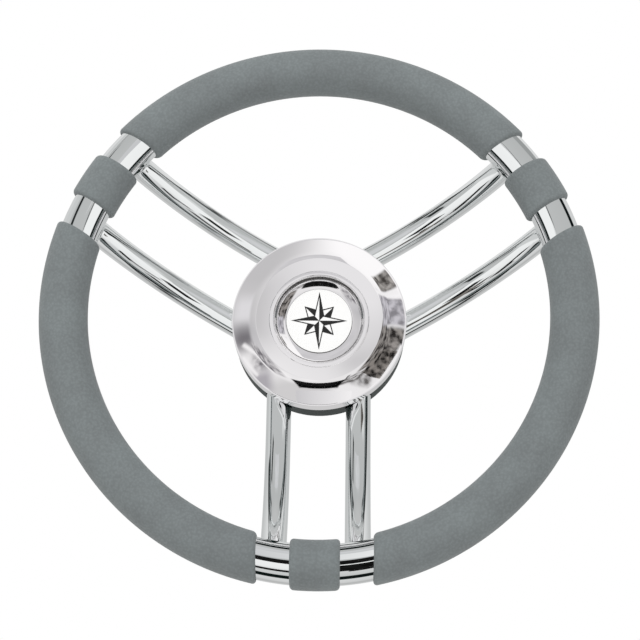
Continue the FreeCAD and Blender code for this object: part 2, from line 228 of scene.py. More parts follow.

# %% [markdown]
# The emblem is stove enamel, which flows out to a smooth gloss. The white ground has a trace of unevenness
# from the flow, about 3 mm long, and the dark points are screened on top and fired again. A grey line round
# the edge of the white ground is painted shadow, the shade in the narrow gap between the emblem and the cap.
# It has no thickness to see, so it is a second colour in the enamel and not a ring of its own.

# %% Stove enamels
def enamel(name, code, roughness, gap_shadow_code, gap_shadow_mm):
    """The painted gap shadow starts at a distance from the shaft. A distance past the emblem leaves it out.
    """
    material, tree, where = new_material(name)
    flat = add(tree, "VectorMath", {0: where, 1: (1, 0, 1)}, operation="MULTIPLY")
    from_shaft = add(tree, "VectorMath", {0: flat.outputs[0]}, operation="LENGTH").outputs["Value"]
    # Painted shadow: from this distance out, the colour turns to the shade of the gap between the emblem and
    # the cap.
    in_gap_shadow = add(tree, "MapRange", {"Value": from_shaft, "From Min": (gap_shadow_mm - 0.05) * 0.001,
                                     "From Max": (gap_shadow_mm + 0.05) * 0.001})
    ink_and_gap_shadow = add(tree, "Mix", {"Factor": in_gap_shadow.outputs[0], 6: colour(code), 7: colour(gap_shadow_code)},
              data_type="RGBA").outputs[2]
    flow = add(tree, "TexNoise", {"Vector": where, "Scale": 1000 / 3.0, "Detail": 1.0})
    bump = add(tree, "Bump", {"Height": flow.outputs[0], "Distance": 0.00001, "Strength": 0.5})
    rough = add(tree, "MapRange", {"Value": flow.outputs[0], "To Min": roughness,
                                   "To Max": roughness + 0.05})
    shader = add(tree, "BsdfPrincipled", {"Base Color": ink_and_gap_shadow, "IOR": 1.5,
                                          "Roughness": rough.outputs[0], "Normal": bump.outputs[0]})
    close_material(tree, shader)
    return material


# The grey from 21.1 mm out is painted shadow at the emblem's edge, in the gap round the disc.
white_enamel = enamel("white_stove_enamel", "#FBFBFA", 0.3, "#5E5E5C", 21.1)
dark_enamel = enamel("black_stove_enamel", "#0B0B0A", 0.4, "#0B0B0A", 30.0)
print(white_enamel.name, dark_enamel.name)

# %% [markdown]
# The pieces that are right as they were packed keep their shape and only take a finish. These are the
# hidden hub parts, the cup behind the spokes, its screws and the two enamels.

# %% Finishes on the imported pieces
packed_finishes = {"hub_boss": lathe_steel, "hub_plate": lathe_steel, "front_ring": lathe_steel,
                   "cover_screws": lathe_steel, "rear_cover": cover_abs, "cap_oring": seal_rubber,
                   "emblem_disc": white_enamel, "compass_rose": dark_enamel}
for name, finish in packed_finishes.items():
    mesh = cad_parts[name].data
    mesh.materials.clear()
    mesh.materials.append(finish)
print("finished:", ", ".join(packed_finishes))

# %% [markdown]
# Mirror metal shows every flat facet, so the polished pieces are modelled again with many more faces,
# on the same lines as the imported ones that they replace. Each new piece becomes an object in the same
# way: its mesh holds its place, its faces are smooth up to a sharp edge, and it rides on the wheel.

# %% Turn a bmesh into a piece of the wheel
SHARP_EDGE = 40


def finish_piece(bm, name, material, nodes):
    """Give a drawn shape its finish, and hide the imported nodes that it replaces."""
    bmesh.ops.recalc_face_normals(bm, faces=bm.faces)
    mesh = bpy.data.meshes.new(name)
    bm.to_mesh(mesh)
    bm.free()
    mesh.materials.append(material)
    mesh.polygons.foreach_set("use_smooth", [True] * len(mesh.polygons))
    mesh.set_sharp_from_angle(angle=radians(SHARP_EDGE))
    piece = bpy.data.objects.new(name, mesh)
    bpy.context.scene.collection.objects.link(piece)
    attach(piece, "root")
    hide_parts(*nodes)
    print(name, len(mesh.polygons), "faces")
    return piece


print("edges sharper than", SHARP_EDGE, "degrees stay sharp")

# %% [markdown]
# The rim is one tube bent into a ring. A curve with a round bevel would make it too, but a section that is
# spun round the shaft is also the way to the cap and to the bends of the spokes. The round section is
# drawn once, beside the shaft, and spun right round it. The last copy is merged with the first, so that
# the tube has no seam.

# %% Polished rim tube
SECTION_SIDES, RIM_STEPS = 64, 360
SAME_POINT = 1e-6
bm = bmesh.new()
section = Matrix.Translation(place(RIM_RADIUS, 0, RIM_FORWARD))
bmesh.ops.create_circle(bm, segments=SECTION_SIDES, radius=RIM_TUBE * 0.001, matrix=section)
bmesh.ops.spin(bm, geom=bm.verts[:] + bm.edges[:], cent=(0, 0, 0), axis=(0, -1, 0), angle=2 * pi,
               steps=RIM_STEPS, use_merge=True)
bmesh.ops.remove_doubles(bm, verts=bm.verts, dist=SAME_POINT)
finish_piece(bm, "rim_polished", tube_steel, ["rim_tube"])

# %% [markdown]
# A grip is a thick sleeve on that tube with rounded ends, cut off parallel to the spokes beside it. A
# thicker tube could be cut with two planes, but rounding such slanting ends afterwards is hard. So a ring
# of edges is walked along the rim: it starts at the tube's surface, opens out over the rounded end, runs
# along the grip, closes in again, and goes back inside against the tube. Each step is an extrusion whose
# corners are then moved to their new station, and it is the same step that draws the spokes later.

# %% Extrude a ring of edges
def edges_and_corners(geometry):
    """Sort what an operator returns into its edges and its corners."""
    return ([part for part in geometry if isinstance(part, bmesh.types.BMEdge)],
            [part for part in geometry if isinstance(part, bmesh.types.BMVert)])


def next_ring(bm, ring):
    """Extrude a ring. The new one lies on the old one until its corners are moved."""
    return edges_and_corners(bmesh.ops.extrude_edge_only(bm, edges=ring)["geom"])


print("a section has", SECTION_SIDES, "corners")

# %% The stations of a grip
GRIP_ROUNDING = 2.5
ROUNDING_STEPS = 6
STEP_ANGLE = 1.2
PAIR_SWEEP = 12
INNER_SKIN = RIM_TUBE - 0.05


def grip_stations(sweep):
    """Share of the way along, inset from the end plane and section radius of every ring."""
    corner = [(GRIP_ROUNDING * (1 - cos(t)), GRIP - GRIP_ROUNDING * (1 - sin(t)))
              for t in (pi / 2 * k / ROUNDING_STEPS for k in range(ROUNDING_STEPS + 1))]
    length = int(sweep / STEP_ANGLE) + 2
    outside = [(0, 0, INNER_SKIN)] + [(0, inset, radius) for inset, radius in corner]
    outside += [(k / length, GRIP_ROUNDING, GRIP) for k in range(1, length)]
    outside += [(1, inset, radius) for inset, radius in corner[::-1]] + [(1, 0, INNER_SKIN)]
    return outside + [(1 - k / length, 0, INNER_SKIN) for k in range(1, length)]


print("a sleeve is walked in", len(grip_stations(PAIR_SWEEP)), "rings")


# %% A grip between two ends
def make_grip(name, start, start_reach, end, end_reach):
    """Each end has a pair's angle and a distance from the plane midway between its spokes."""
    def station(point, along, inset, radius):
        x, y, z = point * 1000
        round_tube = atan2(-y - RIM_FORWARD, hypot(x, z) - RIM_RADIUS)
        out_from_shaft = RIM_RADIUS + radius * cos(round_tube)
        first = start + degrees(asin((start_reach + inset) / out_from_shaft))
        last = end + degrees(asin((end_reach - inset) / out_from_shaft))
        forward = RIM_FORWARD + radius * sin(round_tube)
        return place(out_from_shaft, first + (last - first) * along, forward)

    bm = bmesh.new()
    at_rim = turned(start) @ Matrix.Translation(place(RIM_RADIUS, 0, RIM_FORWARD))
    bmesh.ops.create_circle(bm, segments=SECTION_SIDES, radius=INNER_SKIN * 0.001, matrix=at_rim)
    ring, corners = bm.edges[:], bm.verts[:]
    for number, where_to in enumerate(grip_stations(end - start + PAIR_SWEEP)):
        if number:
            ring, corners = next_ring(bm, ring)
        for corner in corners:
            corner.co = station(corner.co, *where_to)
    open_edges = [edge for edge in bm.edges if edge.is_boundary]
    bmesh.ops.bridge_loops(bm, edges=open_edges)
    return finish_piece(bm, name, grip_skin, [name.replace("_moulded", "")])


# %% [markdown]
# Three long grips lie between the pairs of spokes, and three short sleeves lie between the two spokes of
# each pair. Bare tube shows on both sides of every spoke, 10.7 mm from its axis to the sleeve and 9.3 mm
# to the grip, measured square to the spoke. The top grip is kept out of the reflections, where the
# photograph shows nothing of it.

# %% Grips and sleeves
BAND_INSIDE, BAND_OUTSIDE = 10.7, 9.3
SLEEVE_REACH, GRIP_REACH = SPOKE_OFFSET - BAND_INSIDE, SPOKE_OFFSET + BAND_OUTSIDE
for name, pair in (("top", "right"), ("lower_left", "left"), ("lower_right", "bottom")):
    piece = make_grip("grip_" + name + "_moulded", PAIRS[pair], GRIP_REACH, PAIRS[pair] + 120, -GRIP_REACH)
    piece.visible_glossy = name != "top"
for name, middle in PAIRS.items():
    make_grip("sleeve_" + name + "_moulded", middle, -SLEEVE_REACH, middle, SLEEVE_REACH)

# %% [markdown]
# A spoke leaves the hub straight, then bends forward in one arc and meets the rim tube in a saddle
# joint. A boolean could trim it there, but it would leave long thin faces that mirror metal shows. So the
# round section is extruded for the straight run and spun for the bend, and for the saddle every point of
# the last rings slides on along the bend until it touches the rim tube. A small weld fillet, ground and
# polished with the tube, flares out on to the rim.

# %% Where the rim tube's skin is
def depth_outside_rim(point):
    """Distance in millimetres from a point in metres to the rim tube's skin."""
    x, y, z = point * 1000
    return hypot(hypot(x, z) - RIM_RADIUS, y + RIM_FORWARD) - RIM_TUBE


def on_rim(point, height):
    """The nearest point at a height in millimetres over the rim tube's skin."""
    x, y, z = point * 1000
    centre = Vector((x, 0, z)).normalized() * RIM_RADIUS + Vector((0, -RIM_FORWARD, 0))
    outward = (point * 1000 - centre).normalized()
    return (centre + outward * (RIM_TUBE + height)) * 0.001


print("the tube's centre lies", depth_outside_rim(place(RIM_RADIUS, 90, RIM_FORWARD)), "mm outside its skin")

# %% A spoke's straight run and its bend
INNER_END, BEND_START, AIM = 38.0, 60.0, 3.0
STRAIGHT_STEPS, BEND_STEPS = 4, 56
SADDLE_ROOM = 25.0
rise = RIM_FORWARD - SPOKE_FORWARD - AIM
reach = sqrt(RIM_RADIUS ** 2 - SPOKE_OFFSET ** 2) - BEND_START
bend_radius = (reach ** 2 + rise ** 2) / (2 * rise)
full_bend = asin(reach / bend_radius)
clear_bend = full_bend - SADDLE_ROOM / bend_radius


def straight_and_bend(bm, side):
    """Draw a spoke up to its saddle. Returns the open end's edges and corners and the bend's centre."""
    start = Vector((INNER_END, -SPOKE_FORWARD, side * SPOKE_OFFSET)) * 0.001
    facing = Matrix.Rotation(pi / 2, 4, "Y")
    bmesh.ops.create_circle(bm, segments=SECTION_SIDES, radius=SPOKE * 0.001,
                            matrix=Matrix.Translation(start) @ facing, cap_ends=True)
    ring = bm.edges[:]
    step = (BEND_START - INNER_END) / STRAIGHT_STEPS * 0.001
    for _ in range(STRAIGHT_STEPS):
        ring, corners = next_ring(bm, ring)
        bmesh.ops.translate(bm, verts=corners, vec=(step, 0, 0))
    pivot = Vector((BEND_START, -SPOKE_FORWARD - bend_radius, side * SPOKE_OFFSET)) * 0.001
    bent = bmesh.ops.spin(bm, geom=ring + corners, cent=pivot, axis=(0, 0, -1), angle=clear_bend,
                          steps=BEND_STEPS)["geom_last"]
    return (*edges_and_corners(bent), pivot)


print("bend radius", round(bend_radius, 1), "mm, bent by", round(degrees(full_bend), 1), "degrees")

# %% A spoke's saddle and weld fillet
WELD, WELD_SUNK = 1.1, 0.4
LONGEST_SLIDE, HALVINGS = 60.0, 40
SADDLE_STEPS, FILLET_STEPS = 8, 5
weld_turn = WELD / bend_radius


def slide_to_rim(point, further):
    """The turn along the bend that brings a point to the rim's skin, found by halving the range."""
    low, high = 0.0, LONGEST_SLIDE / bend_radius
    for _ in range(HALVINGS):
        middle = (low + high) / 2
        if depth_outside_rim(further(point, middle)) > 0:
            low = middle
        else:
            high = middle
    return low


def saddle(bm, ring, corners, pivot):
    """Run the open end up to the rim tube and flare it out over its skin. Returns the last edges."""
    def further(point, turn):
        return pivot + Matrix.Rotation(-turn, 3, "Z") @ (point - pivot)

    paths = [(corner.co.copy(), slide_to_rim(corner.co, further)) for corner in corners]
    axis_end = sum((further(point, turn) for point, turn in paths), Vector()) / len(paths)
    along_bend = [k / SADDLE_STEPS for k in range(1, SADDLE_STEPS + 1)]
    over_fillet = [1 + k / FILLET_STEPS for k in range(1, FILLET_STEPS + 1)]
    for stage in along_bend + over_fillet + [3]:
        ring, corners = next_ring(bm, ring)
        for corner, (point, turn) in zip(corners, paths):
            touch = further(point, turn)
            before = further(point, turn - weld_turn)
            away = on_rim(touch + (touch - axis_end).normalized() * WELD * 0.001, 0.0)
            if stage <= 1:
                corner.co = further(point, (turn - weld_turn) * stage)
            elif stage <= 2:
                t = stage - 1
                corner.co = before * (1 - t) ** 2 + touch * 2 * t * (1 - t) + away * t ** 2
            else:
                corner.co = on_rim(away, -WELD_SUNK)
    return ring


print("weld fillet", WELD, "mm")


# %% The six spokes
def make_spoke(name, pair_angle, side):
    """One spoke, drawn beside the right-hand axis and turned to its pair's angle."""
    bm = bmesh.new()
    ring = saddle(bm, *straight_and_bend(bm, side))
    bmesh.ops.contextual_create(bm, geom=ring)
    bmesh.ops.rotate(bm, verts=bm.verts, cent=(0, 0, 0), matrix=turned(pair_angle).to_3x3())
    finish_piece(bm, name, tube_steel, [name.replace("_polished", "")])


for pair, side_names in (("right", ("lower", "upper")), ("left", ("upper", "lower")),
                         ("bottom", ("left", "right"))):
    for side, side_name in zip((-1, 1), side_names):
        make_spoke("spoke_" + pair + "_" + side_name + "_polished", PAIRS[pair], side)

# %% [markdown]
# The cap is pressed from one sheet: a dished middle that holds the emblem, a flat lip, a face that rises
# to a ridge, and a shoulder that turns over into a straight skirt. Its section could be a list of points,
# but then no slope or radius could be read from it. So it is drawn by a pen that runs straight or bends
# to a given slope, with the edges slightly softened as buffing leaves them. The section is spun round the
# shaft, and the sheet's thickness is added behind it.

# %% The pen that draws the cap's section
class Pen:
    """Draws a section outward (way 1) or inward (way -1). Tilt is the slope, falling outward."""

    def __init__(self, radius, forward, way):
        self.r, self.h, self.tilt, self.way = radius, forward, 0.0, way
        self.points = [(radius, forward)]

    def run(self, radius, tilt):
        """Draw straight to a radius."""
        self.tilt = radians(tilt)
        self.h -= (radius - self.r) * tan(self.tilt)
        self.r = radius
        self.points.append((self.r, self.h))

    def bend(self, tilt, bend_radius, steps):
        """Turn to a slope in a round stretch."""
        first, last = self.tilt, radians(tilt)
        side = self.way * copysign(1, last - first) * bend_radius
        r, h = self.r, self.h
        for k in range(1, steps + 1):
            now = first + (last - first) * k / steps
            self.points.append((r + side * (sin(now) - sin(first)), h + side * (cos(now) - cos(first))))
        self.r, self.h = self.points[-1]
        self.tilt = last

    def bend_to(self, radius, tilt, steps):
        """Turn to a slope in a round stretch that ends at a radius."""
        change = sin(radians(tilt)) - sin(self.tilt)
        self.bend(tilt, abs((radius - self.r) / change), steps)


# %% From the lip out to the skirt
CAP_RADIUS, CAP_EDGE, CAP_HEIGHT = 56.3, 42.3, 16.6
LIP_RADIUS, LIP_OUTER, STEP_FOOT, STEP_TILT = 29.7, 31.7, 32.05, 40
STEP_EDGE, STEP_HOLLOW = 0.3, 0.35
FACE_OUTER, FACE_SLOPE, RIDGE_ROUNDING = 40.4, 8, 0.9
CROWN_RADIUS, CROWN_TILTS = 46.3, (9, 21)
SHOULDER_TILT, SHOULDER_ROUNDING = 24.5, 1.7
lip_forward = CAP_EDGE + CAP_HEIGHT
out = Pen(LIP_RADIUS, lip_forward, 1)
out.run(LIP_OUTER, 0)
out.bend(STEP_TILT, STEP_EDGE, 4)
out.run(STEP_FOOT, STEP_TILT)
out.bend(-FACE_SLOPE, STEP_HOLLOW, 5)
out.run(FACE_OUTER, -FACE_SLOPE)
out.bend(CROWN_TILTS[0], RIDGE_ROUNDING, 6)
out.bend_to(CROWN_RADIUS, CROWN_TILTS[1], 12)
shoulder_radius = CAP_RADIUS - SHOULDER_ROUNDING * (1 - sin(radians(SHOULDER_TILT)))
out.bend_to(shoulder_radius, SHOULDER_TILT, 12)
out.bend(90, SHOULDER_ROUNDING, 16)
out.points.append((CAP_RADIUS, CAP_EDGE))
print("outer part:", len(out.points), "points, lip", round(lip_forward, 2), "mm forward")

# %% From the lip in to the shaft
LIP_ROUNDING, WALL_TILT, WALL_HEIGHT, DISH_FILLET = 1.2, 70, 2.8, 1.5
SEAT_RADIUS, BOWL_TILTS = 21.65, (10, 19)
inward = Pen(LIP_RADIUS, lip_forward, -1)
inward.bend(-WALL_TILT, LIP_ROUNDING, 8)
inward.run(inward.r - WALL_HEIGHT / tan(radians(WALL_TILT)), -WALL_TILT)
inward.bend(-BOWL_TILTS[1], DISH_FILLET, 8)
inward.bend_to(SEAT_RADIUS, -BOWL_TILTS[0], 10)
inward.run(0.0, 0)
front = inward.points[:0:-1] + out.points
print("whole section:", len(front), "points")

# %% Spin the cap
CAP_WALL, CAP_STEPS = 1.5, 256
bm = bmesh.new()
line = [bm.verts.new(place(r, 0, h)) for r, h in front]
edges = [bm.edges.new(pair) for pair in zip(line, line[1:])]
bmesh.ops.spin(bm, geom=line + edges, cent=(0, 0, 0), axis=(0, -1, 0), angle=2 * pi,
               steps=CAP_STEPS, use_merge=True)
bmesh.ops.remove_doubles(bm, verts=bm.verts, dist=SAME_POINT)
bmesh.ops.recalc_face_normals(bm, faces=bm.faces)
bmesh.ops.solidify(bm, geom=bm.faces[:], thickness=CAP_WALL * 0.001)
finish_piece(bm, "cap_polished", cap_steel, ["cap_shell"])

# %% [markdown]
# The wheel is photographed from a little below the shaft, so the camera looks up at it by about 16
# degrees from 950 mm away, with a long lens. The image is 640 by 640. The camera's shift sets the wheel
# a little off centre, as it is in the photograph. Tracking a target would lose the slight roll, so the
# camera's three directions are worked out and written into its matrix.

# %% Camera
PICTURE, FOCAL_PIXELS, SHIFT_RIGHT, SHIFT_UP = 640, 1519, 1.6, -12.1
SENSOR, CAMERA_AWAY = 36.0, 950.0
elevation, azimuth, roll = radians(-15.92), radians(1.16), radians(0.80)
back = Vector((sin(azimuth) * cos(elevation), -cos(azimuth) * cos(elevation), sin(elevation)))
right = back.cross(Vector((0, 0, -1))).normalized()
up = back.cross(right)
tilted_right = right * cos(roll) + up * sin(roll)
tilted_up = up * cos(roll) - right * sin(roll)
camera_data = bpy.data.cameras.new("camera")
camera = bpy.data.objects.new("camera", camera_data)
bpy.context.scene.collection.objects.link(camera)
turn = Matrix((tilted_right, tilted_up, back)).transposed().to_4x4()
camera.matrix_world = Matrix.Translation(place(0, 0, RIM_FORWARD) + back * (CAMERA_AWAY * 0.001)) @ turn
camera_data.sensor_width = SENSOR
camera_data.lens = SENSOR * FOCAL_PIXELS / PICTURE
camera_data.shift_x = SHIFT_RIGHT / PICTURE
camera_data.shift_y = SHIFT_UP / PICTURE
camera_data.clip_start = 0.01
bpy.context.scene.camera = camera
print("camera at", tuple(round(v, 3) for v in camera.location))

# %% [markdown]
# Polished steel shows the room around it more than itself. The wheel hangs in a white studio, inside a
# painted sphere, the tent, that only reflections see. A photographed room would bring its own colours and
# grain, so the tent is painted by rule, as the studio would look from the hub: pale grey to the left,
# brighter above to the right, a darker room with light strips on the right, and black flags all round the
# wheel's own plane, which is how a photographer gives bright metal its dark edges.
#
# The white world comes first. The camera and the reflections see it as pure white. Matt surfaces get a
# little less of it, so that their colours come out as they are written.

# %% White background
MATT_LIGHT = 0.86
world = bpy.data.worlds.new("white_studio")
bpy.context.scene.world = world
world.use_nodes = True
world.node_tree.nodes.clear()
tree = world.node_tree
rays = add(tree, "LightPath")
plain = add(tree, "Math", {0: rays.outputs["Is Camera Ray"], 1: rays.outputs["Is Glossy Ray"]},
            operation="MAXIMUM")
shown = add(tree, "Math", {0: plain.outputs[0], 1: rays.outputs["Is Transmission Ray"]},
            operation="MAXIMUM")
level = add(tree, "MapRange", {"Value": shown.outputs[0], "To Min": MATT_LIGHT, "To Max": 1.0})
white = add(tree, "Background", {"Color": (1, 1, 1, 1), "Strength": level.outputs[0]})
add(tree, "OutputWorld", {"Surface": white.outputs[0]})
print("world:", world.name)

# %% [markdown]
# The tent's paint works with two angles, worked out from the tent's own coordinates: how far to the right
# of straight ahead a point lies, and how high. Every shape on it is a mask between nought and one. A patch
# is a soft-edged oblong in the two angles, and its paint is even, or mottled between two greys.

# %% Angles on the tent
tent_paint, tree, where = new_material("painted_tent")
place_in = add(tree, "SeparateXYZ", {0: where})
ahead = add(tree, "Math", {0: place_in.outputs["Y"], 1: -1.0}, operation="MULTIPLY")
sideways = add(tree, "Math", {0: place_in.outputs["X"], 1: ahead.outputs[0]}, operation="ARCTAN2")
away = add(tree, "VectorMath", {0: where}, operation="LENGTH")
high = add(tree, "Math", {0: place_in.outputs["Z"], 1: away.outputs["Value"]}, operation="DIVIDE")
upward = add(tree, "Math", {0: high.outputs[0]}, operation="ARCSINE")
right_of = add(tree, "Math", {0: sideways.outputs[0], 1: degrees(1)}, operation="MULTIPLY").outputs[0]
above = add(tree, "Math", {0: upward.outputs[0], 1: degrees(1)}, operation="MULTIPLY").outputs[0]
angles = add(tree, "CombineXYZ", {"X": right_of, "Y": above}).outputs[0]
print("two angles from", len(tree.nodes), "nodes")


# %% Masks, mottled paint and patches
def between(value, low, high, soft, within=1.0):
    """A mask over a range of values, with soft ends. It may be kept within another mask."""
    rise = add(tree, "MapRange", {"Value": value, "From Min": low - soft, "From Max": low + soft},
               interpolation_type="SMOOTHSTEP")
    fall = add(tree, "MapRange", {"Value": value, "From Min": high + soft, "From Max": high - soft},
               interpolation_type="SMOOTHSTEP")
    inside = add(tree, "Math", {0: rise.outputs[0], 1: fall.outputs[0]}, operation="MULTIPLY")
    return add(tree, "Math", {0: inside.outputs[0], 1: within}, operation="MULTIPLY").outputs[0]


def mottled(first, second, grain_degrees, seed):
    """Paint that wanders between two colours, with spots about as wide as the grain."""
    shifted = add(tree, "VectorMath", {0: angles, 1: (seed, 0, 0)}).outputs[0]
    noise = add(tree, "TexNoise", {"Vector": shifted, "Scale": 1 / grain_degrees, "Detail": 4.0})
    ramp = add(tree, "ValToRGB", {"Fac": noise.outputs[0]})
    ramp.color_ramp.elements[0].position, ramp.color_ramp.elements[1].position = 0.4, 0.6
    ramp.color_ramp.elements[0].color = colour(first)
    ramp.color_ramp.elements[1].color = colour(second)
    return ramp.outputs[0]


def patch(under, paint, middle, size, spin=0.0, soft=1.0, seen_by=1.0):
    """Lay an oblong patch over what is painted so far. Angles are in degrees."""
    moved = add(tree, "VectorMath", {0: angles, 1: (*middle, 0)}, operation="SUBTRACT").outputs[0]
    straight = add(tree, "VectorRotate", {"Vector": moved, "Angle": radians(-spin)},
                   rotation_type="Z_AXIS").outputs[0]
    apart = add(tree, "SeparateXYZ", {0: straight})
    across = between(apart.outputs["X"], -size[0] / 2, size[0] / 2, soft, seen_by)
    mask = between(apart.outputs["Y"], -size[1] / 2, size[1] / 2, soft, across)
    return add(tree, "Mix", {"Factor": mask, 6: under, 7: paint}, data_type="RGBA").outputs[2]


print("masks, mottled paint and patches are ready")

# %% [markdown]
# The cap mirrors the front of the tent. Its paint goes on in layers, as on a real backdrop. Two washes
# change with height, a grey one on the left and a brighter one on the right, and they run into each other
# in front of the wheel. Bright metal swallows about a seventh of the light, so the right one is lifted a
# little over white. The patches on top are what hangs in the studio. Each has its middle, first to the
# right and then upwards, its width and its height, all in degrees from the hub.

# %% Two washes, one for each side
def ramp_up(stops):
    """A colour for every height on the tent, from pairs of an angle and a colour code."""
    share = add(tree, "MapRange", {"Value": above, "From Min": -90.0, "From Max": 90.0})
    ramp = add(tree, "ValToRGB", {"Fac": share.outputs[0]})
    while len(ramp.color_ramp.elements) < len(stops):
        ramp.color_ramp.elements.new(1.0)
    for element, (angle, code) in zip(ramp.color_ramp.elements, stops):
        element.position = (angle + 90) / 180
        element.color = colour(code)
    return ramp.outputs[0]


OVER_WHITE = 1.12
left_wall = ramp_up(((-70, "#D8D8D8"), (-50, "#FBFBFB"), (-5, "#F4F4F4"), (3, "#CECED0"),
                     (9, "#C4C4C6"), (16, "#CECECF"), (28, "#D2D2D3"), (38, "#CBCBCC"),
                     (80, "#CDCDCE")))
right_wall = ramp_up(((-70, "#CDCDCD"), (-50, "#EFEFEF"), (-5, "#E8E8E8"), (10, "#DEDEDF"),
                      (34, "#FCFCFC"), (80, "#FFFFFF")))
bright_wall = add(tree, "VectorMath", {0: right_wall, "Scale": OVER_WHITE}, operation="SCALE")
to_the_right = add(tree, "MapRange", {"Value": right_of, "From Min": -42.0, "From Max": 22.0},
                   interpolation_type="SMOOTHSTEP")
paint = add(tree, "Mix", {"Factor": to_the_right.outputs[0], 6: left_wall, 7: bright_wall.outputs[0]},
            data_type="RGBA").outputs[2]
print("two washes run together")

# %% What hangs in front of the cap
# Pale and grey cloths straight ahead and low down.
paint = patch(paint, colour("#F2F2F3"), (-6, 9), (16, 14), soft=4)
paint = patch(paint, colour("#CFCFD0"), (11, 14), (9, 13), soft=4)
paint = patch(paint, colour("#D2D2D3"), (-10, 23), (10, 4), soft=3)
paint = patch(paint, colour("#DADADA"), (-16, -31), (48, 18), soft=5)
# Cloths on the left, with two white light strips across them.
paint = patch(paint, colour("#B6B4B9"), (-38, -22), (12, 12), soft=4)
paint = patch(paint, colour("#E8E8EA"), (-47, 20), (16, 14), soft=5)
paint = patch(paint, colour("#7E7C80"), (-47, 4), (14, 12), soft=6)
paint = patch(paint, mottled("#77757A", "#D8D7D8", 5, 3), (-30, -7), (24, 16), soft=3)
paint = patch(paint, colour("#FFFFFF"), (-38, -8), (26, 2.2), spin=-42)
paint = patch(paint, colour("#FFFFFF"), (-44, -12), (14, 1.6), spin=-55)
# The darker room on the right, with two white light strips and a black doorway.
paint = patch(paint, mottled("#6A6867", "#D0D0D0", 4, 17), (22, -18), (22, 14), soft=2)
paint = patch(paint, mottled("#2A2827", "#A09C98", 4, 29), (25, 2.5), (17, 24), soft=1.5)
paint = patch(paint, mottled("#2A2827", "#A09C98", 4, 29), (41, 3.4), (22, 15), soft=1.5)
paint = patch(paint, mottled("#8E8D92", "#CFCED4", 5, 41), (38, 20), (32, 15), soft=1)
paint = patch(paint, mottled("#45423F", "#B0ADA9", 4, 53), (41, 36), (22, 11), spin=22)
paint = patch(paint, colour("#FFFFFF"), (35, 28.5), (34, 2.6), spin=11, soft=0.8)
paint = patch(paint, colour("#FFFFFF"), (44, -13.5), (32, 6), spin=62)
paint = patch(paint, colour("#1A1C1C"), (76, 48), (14, 12), spin=-20)
# The black cloth round the camera, below the hub's level.
paint = patch(paint, colour("#0A0B0B"), (-1, -18.5), (27, 20), soft=0.8)
print("the cap's view has", len(tree.nodes), "nodes")

# %% [markdown]
# The rim and the spokes show a plainer room than the cap does: white up to a little above the shaft, a thin
# dark edge there, and grey over it. A real studio would need two pictures for that. Here the paint asks
# where each reflected ray has started. That point lies one ray length back from the tent, and its
# distance from the shaft tells the cap, the spokes and the rim apart.

# %% Where a reflected ray has started
hit = add(tree, "NewGeometry")
ray_length = add(tree, "LightPath").outputs["Ray Length"]
way_back = add(tree, "VectorMath", {0: hit.outputs["Incoming"], "Scale": ray_length}, operation="SCALE")
start = add(tree, "VectorMath", {0: hit.outputs["Position"], 1: way_back.outputs[0]}, operation="ADD")
start_x = add(tree, "SeparateXYZ", {0: start.outputs[0]}).outputs["X"]
start_flat = add(tree, "VectorMath", {0: start.outputs[0], 1: (1, 0, 1)}, operation="MULTIPLY")
off_axis = add(tree, "VectorMath", {0: start_flat.outputs[0]}, operation="LENGTH").outputs["Value"]


def beyond(value, first, further):
    """A mask that starts at one distance and is full a little further on, both in millimetres."""
    return add(tree, "MapRange", {"Value": value, "From Min": first * 0.001,
                                  "From Max": (first + further) * 0.001}).outputs[0]


TUBES_FROM, RIM_FROM, SIDES_FROM = CAP_RADIUS + 0.2, RIM_RADIUS - RIM_TUBE + 0.7, 95.0
from_tubes, from_rim = beyond(off_axis, TUBES_FROM, 1.5), beyond(off_axis, RIM_FROM, 1.5)
not_from_rim = add(tree, "Math", {0: 1.0, 1: from_rim}, operation="SUBTRACT").outputs[0]
from_left, from_right = beyond(start_x, -SIDES_FROM, -10), beyond(start_x, SIDES_FROM, 10)
print("tubes start", TUBES_FROM, "mm from the shaft and the rim", round(RIM_FROM, 1), "mm")

# %% What the rim and the spokes see
for_tubes = ramp_up(((-75, "#CFD0D0"), (-50, "#DCDCDC"), (-36, "#FAFAFA"), (6, "#FFFFFF"), (8, "#C6C7C7"),
                     (60, "#BEBFBF"), (75, "#C8C8C8")))
for_tubes = patch(for_tubes, colour("#E2E3E3"), (47, 14), (16, 12), soft=4)
for_tubes = patch(for_tubes, colour("#D0D1D2"), (2, 48), (40, 18), soft=6)
for_tubes = patch(for_tubes, colour("#5A5C5C"), (0, 7), (52, 2), soft=0.5)
for_tubes = patch(for_tubes, colour("#2A2E2E"), (-52, 32), (10, 26), spin=35)
paint = add(tree, "Mix", {"Factor": from_tubes, 6: paint, 7: for_tubes}, data_type="RGBA").outputs[2]
print("paint for the tubes mixed in")

# %% [markdown]
# The sides of the tubes mirror what lies across and behind the wheel's own plane: a pale wall at the back
# and, in front of it, the black flags that draw the dark lines along each tube. Their angle is measured
# from straight ahead, so 90 degrees is the wheel's plane. Towards each pair of spokes a flag hangs at 75
# to 94 degrees, and between the pairs it hangs further back. A wave with three periods round the shaft,
# at -1 towards a pair and at +1 halfway between two pairs, says which flag is meant, and slanting flags
# join them.

